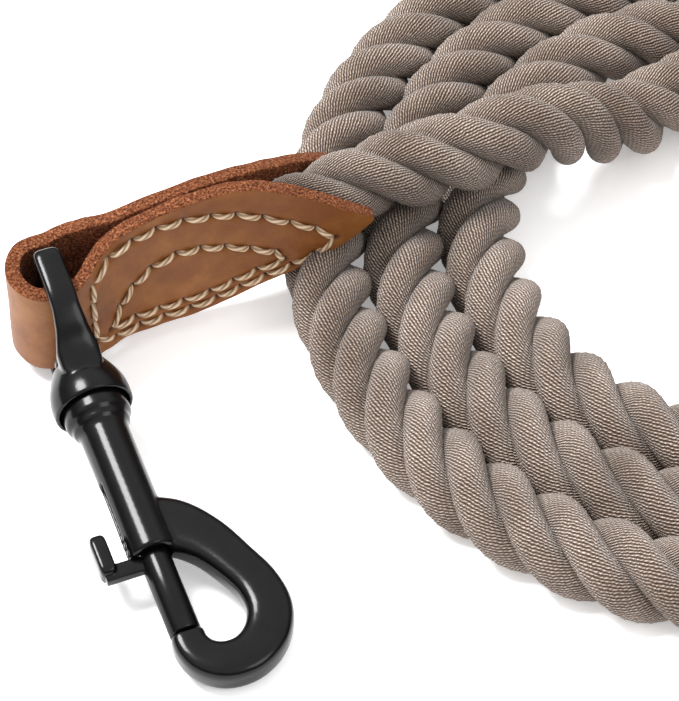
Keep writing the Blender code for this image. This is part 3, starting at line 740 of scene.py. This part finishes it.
def make_eye(finish):
    """The flat-sided eye: a band round the strap's window, flaring into the bell that turns on the collar."""
    side = [(23.4, 6.9, 21.0, 4.4), (20.3, 7.3, 17.4, 3.0), (16.9, 9.0, 15.6, 5.4), (13.4, 12.0, 12.4, 9.4),
            (9.6, 14.2, 8.9, 11.7), (3.0, 15.2, 5.5, 11.7), (-0.9, 15.2, 2.3, 11.7), (-2.3, 13.2, 2.3, 10.7),
            (-2.3, 5.0, 2.3, 5.0)]
    knots = side + [(v, -w, q, -p) for v, w, q, p in side[::-1]]
    band = smooth_line(np.array(knots, float), count=170)
    outer = np.stack([np.zeros(len(band)), band[:, 0], band[:, 1]], 1)
    inner = np.stack([np.zeros(len(band)), band[:, 2], band[:, 3]], 1)
    middle = (outer + inner) / 2
    thick = np.linalg.norm(outer - inner, axis=1) / 2
    wide = np.interp(middle[:, 1], [0, 11, 14, 17, 19.5, 22.2], [2.65, 2.65, 3.1, 4.1, 4.0, 2.0])
    across = np.tile([1.0, 0, 0], (len(band), 1))
    window = rounded_band("eye_band", middle, unit(outer - inner), across, thick, wide, finish, power=4.0)
    outside = smooth_line([(15.4, 3.6), (16.6, 4.9), (18.4, 5.9), (20.4, 6.8), (22.4, 7.4), (24.4, 7.6),
                           (26.3, 7.5)], count=40)
    inside = smooth_line([(26.2, 6.6), (24.2, 6.6), (22.2, 6.3), (20.0, 4.4)], count=20)
    rim = [(26.55, 7.3), (26.6, 7.05), (26.5, 6.75)]
    profile = np.concatenate([outside, rim, inside, [(19.9, 2.3), (15.4, 2.3)]])
    bell = turned_profile("eye_bell", profile, finish)
    eye = melted("cast_swivel_eye", [window, bell], [], finish, voxel=0.22, passes=12)
    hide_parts("swivel_eye")
    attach(eye, "eye")
    return eye


# the hook's middle line, across and along, with its half width and half thickness
HOOK_BAND = [(1.0, 53.6, 5.8, 2.9), (5.2, 55.4, 5.3, 3.0), (9.6, 60.0, 4.5, 3.2), (12.9, 66.2, 4.0, 3.3),
             (15.1, 71.8, 4.0, 3.3), (15.3, 77.0, 4.2, 3.3), (12.9, 81.6, 4.2, 3.3), (8.8, 84.2, 4.0, 3.3),
             (4.5, 84.2, 3.8, 3.3), (1.4, 82.2, 3.5, 3.2), (0.05, 79.4, 3.2, 3.15), (0.0, 76.9, 3.05, 3.05)]


def make_snap_body(finish):
    """Barrel, collar and hook cast in one, bored for the bolt and slotted for its lever."""
    barrel = smooth_line([(31.2, 5.0), (32.0, 4.72), (34.0, 4.65), (44.0, 4.6), (56.0, 4.7), (59.2, 4.7)],
                         count=60)
    collar = [(20.2, 0.05), (20.2, 3.6), (21.2, 4.4), (22.6, 6.0), (22.9, 6.25), (28.6, 6.3), (29.2, 6.15),
              (29.9, 5.5), (30.6, 5.5), (31.0, 5.3)]
    profile = np.concatenate([collar, barrel, [(59.6, 4.4), (59.6, 0.05)]])
    stem = turned_profile("stem", profile, finish, closed=False)
    band = smooth_line(np.array(HOOK_BAND, float), count=150)
    ahead = unit(np.gradient(band[:, :2], axis=0))
    middle = np.stack([band[:, 0], band[:, 1], np.zeros(len(band))], 1)
    sideways = np.stack([ahead[:, 1], -ahead[:, 0], np.zeros(len(band))], 1)
    upwards = np.tile([0.0, 0.0, 1.0], (len(band), 1))
    hook = rounded_band("hook", middle, sideways, upwards, band[:, 2], band[:, 3], finish, power=3.6)
    bore = turned_profile("bore", [(31, 0.05), (31, 3.2), (68.8, 3.2), (68.8, 0.05)], finish, sides=48,
                          closed=False)
    slot_line = np.stack([np.full(40, -5.0), np.linspace(42.8, 66.0, 40), np.zeros(40)], 1)
    slot = rounded_band("slot", slot_line, np.tile([1.0, 0, 0], (40, 1)), np.tile([0, 0, 1.0], (40, 1)),
                        np.full(40, 4.0), np.full(40, 1.5), finish, power=8.0)
    body = melted("cast_snap_body", [stem, hook], [bore, slot], finish, voxel=0.22, passes=9)
    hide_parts("snap_body")
    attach(body, "hook")
    return body


def make_gate(finish):
    """The bolt: a turned pin with eased ends.  The lever: an arm through the slot and a rounded thumb pad."""
    profile = [(52.0, 0.05), (52.0, 2.3), (52.15, 2.6), (52.5, 2.85), (76.0, 2.85), (76.25, 2.6), (76.35, 2.3),
               (76.4, 0.05)]
    pin = turned_profile("turned_gate_bolt", profile, finish, closed=False)
    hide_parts("gate_bolt")
    rows = 12
    arm_line = np.stack([np.linspace(-9.6, -2.2, rows), np.full(rows, 60.6), np.zeros(rows)], 1)
    arm = rounded_band("arm", arm_line, np.tile([0, 1.0, 0], (rows, 1)), np.tile([0, 0, 1.0], (rows, 1)),
                       np.full(rows, 1.6), np.full(rows, 1.15), finish, power=5.0)
    rows = 40
    along = np.linspace(52.6, 61.4, rows)
    end = np.sqrt(np.clip(1 - np.abs((along - 57.0) / 4.42) ** 7, 0.02, 1))
    pad_line = np.stack([np.full(rows, -8.75), along, np.zeros(rows)], 1)
    pad = rounded_band("pad", pad_line, np.tile([1.0, 0, 0], (rows, 1)), np.tile([0, 0, 1.0], (rows, 1)),
                       1.55 * end, 2.4 * end, finish, power=5.0)
    lever = melted("cast_thumb_lever", [arm, pad], [], finish, voxel=0.2, passes=4)
    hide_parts("thumb_lever")
    for piece in (pin, lever):
        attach(piece, "gate")
    return pin, lever


def make_spring(finish):
    """Round wire wound nine turns between the bore's end and the bolt's tail.

    The line is a helix: an angle that turns evenly while the point moves along the barrel.
    """
    start, end, turns = 31.65, 51.35, 9
    turn = np.linspace(0, 2 * math.pi * turns, 28 * turns)
    along = start + (end - start) * turn / turn[-1]
    line = snap_place(np.stack([2.45 * np.cos(turn), along, 2.45 * np.sin(turn)], -1))
    spring = skin("wound_gate_spring", sweep(line, 0.35, 12), finish)
    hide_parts("gate_spring")
    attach(spring, "hook")
    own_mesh(spring)
    return spring


# ---- the handle's sleeve -----------------------------------------------------------
def sleeve_oval(half_wide, half_tall, count):
    """Two half circles joined by straight sides: (across, up) points, evenly spaced."""
    side = half_wide - half_tall
    arc = np.linspace(-90, 90, 60) * math.pi / 180
    right = np.stack([side + half_tall * np.cos(arc), half_tall * np.sin(arc)], 1)
    loop = np.concatenate([right, -right, right[:1]])
    length = np.concatenate([[0], np.cumsum(np.linalg.norm(np.diff(loop, axis=0), axis=1))])
    want = np.linspace(0, length[-1], count, endpoint=False)
    return np.stack([np.interp(want, length, loop[:, i]) for i in range(2)], 1)


def make_handle_leather(finish):
    """A band of leather round both ropes, waisted between them, with its two rims eased."""
    count = 220
    tall = ROPE_D / 2 + SLEEVE_ROOM
    wide = SLEEVE_PITCH / 2 + tall
    outer, inner = sleeve_oval(wide + SLEEVE_WALL, tall + SLEEVE_WALL, count), sleeve_oval(wide, tall, count)
    reach = SLEEVE_LENGTH / 2
    ease_in = 0.5
    across = np.linspace(-reach + ease_in, reach - ease_in, 70)
    alongs = np.concatenate([across, [reach - 0.15, reach, reach, reach - 0.15], across[::-1],
                             [0.15 - reach, -reach, -reach, 0.15 - reach]])
    blend = np.concatenate([np.ones(70), [0.95, 0.82, 0.18, 0.05], np.zeros(70), [0.05, 0.18, 0.82, 0.95]])
    raw = np.concatenate([np.zeros(70), np.ones(78)])
    section = inner[:, None] + (outer - inner)[:, None] * blend[None, :, None]
    waist = np.exp(-(section[..., 0] / 3.4) ** 2) * np.sign(section[..., 1])
    up = section[..., 1] - 0.35 * waist * blend
    holes = np.arange(-reach + 5, reach - 4.9, STITCH * 0.98)
    to_hole = np.hypot(section[..., 0], np.abs(alongs[None, :, None] - holes).min(-1))
    near = (blend > 0.99)[None] * np.exp(-(to_hole / 0.75) ** 2)
    up = up - 0.4 * near * np.sign(section[..., 1])
    side = np.array([-SLEEVE_WAY[1], SLEEVE_WAY[0]])
    flat = SLEEVE_MIDDLE + alongs[None, :, None] * SLEEVE_WAY + section[..., :1] * side
    grid = np.concatenate([flat, (SLEEVE_Z + up)[..., None]], -1)
    flesh = np.broadcast_to(raw, up.shape)
    # hole marks the awl holes, where the leather's material paints dark shade.
    hole = (blend > 0.99)[None] * np.exp(-(to_hole / 0.5) ** 4)
    grid = turned(grid.reshape(-1, 3)).reshape(grid.shape)
    sleeve = skin("handle_leather_sleeve", grid, finish, ring=True, extra={"flesh": flesh, "hole": hole})
    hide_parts("handle_leather")
    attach(sleeve, "root")
    return sleeve


def make_handle_stitches(finish):
    """One line of stitches between the two ropes, on the sleeve's top and foot."""
    made = []
    reach = SLEEVE_LENGTH / 2
    holes = np.arange(-reach + 5, reach - 4.9, STITCH * 0.98)
    for yarn, up in (("needle", 1), ("bobbin", -1)):
        z = SLEEVE_Z + up * (ROPE_D / 2 + SLEEVE_ROOM + SLEEVE_WALL - 0.35)
        ends = turned([sleeve_point(along, 0, z) for along in holes])
        made.append(stitched(f"handle_{yarn}_stitches", ends, np.array([0.0, 0.0, up]), finish,
                             f"handle_{yarn}_thread"))
    return made


# ---- floor and light ------------------------------------------------------------------
def soft_light(name, place, size, power, aim=(0.02, 0.0, 0.01)):
    data = bpy.data.lights.new(name, "AREA")
    data.shape = "DISK"
    data.size = size
    data.energy = power
    lamp = bpy.data.objects.new(name, data)
    lamp.location = place
    lamp.rotation_euler = (Vector(aim) - Vector(place)).to_track_quat("-Z", "Y").to_euler()
    bpy.context.scene.collection.objects.link(lamp)


def set_stage():
    """A bright board, a grey-to-white sky for the enamel to mirror, and two soft lights."""
    floor_mesh = bpy.data.meshes.new("floor")
    reach = 3.0
    corners = [(-reach, -reach, 0), (reach, -reach, 0), (reach, reach, 0), (-reach, reach, 0)]
    floor_mesh.from_pydata(corners, [], [(0, 1, 2, 3)])
    floor_mesh.materials.append(plain_floor())
    floor = bpy.data.objects.new("floor", floor_mesh)
    bpy.context.scene.collection.objects.link(floor)
    world = bpy.data.worlds.new("studio")
    world.use_nodes = True
    sky = world.node_tree
    coords = add(sky, "ShaderNodeTexCoord")
    up = add(sky, "ShaderNodeSeparateXYZ", links={"Vector": (coords, "Generated")})
    tent = ramp(sky, up, "Z", [(0.0, "6a6a6a"), (0.35, "8a8a8a"), (0.7, "ffffff")])
    link(sky, tent, "Color", sky.nodes["Background"], "Color")
    sky.nodes["Background"].inputs["Strength"].default_value = 1.25
    bpy.context.scene.world = world
    soft_light("overhead_softbox", (-0.35, 0.35, 0.9), 0.42, 16.5)
    soft_light("front_softbox", (0.5, -0.8, 0.8), 0.6, 3.5)


def main():
    bpy.context.scene.view_settings.view_transform = "Standard"
    make_camera()
    cotton, tan, linen, black = soft_cotton(), tan_leather(), waxed_thread(), black_enamel()
    rope, path, length = make_rope(cotton)
    make_clip_leather(tan)
    make_clip_stitches(linen)
    sleeve = make_handle_leather(tan)
    handle_stitches = make_handle_stitches(linen)
    make_eye(black)
    make_snap_body(black)
    make_gate(black)
    make_spring(spring_wire())
    bpy.data.objects["swivel_rivet"].material_slots[0].material = black
    set_stage()


main()
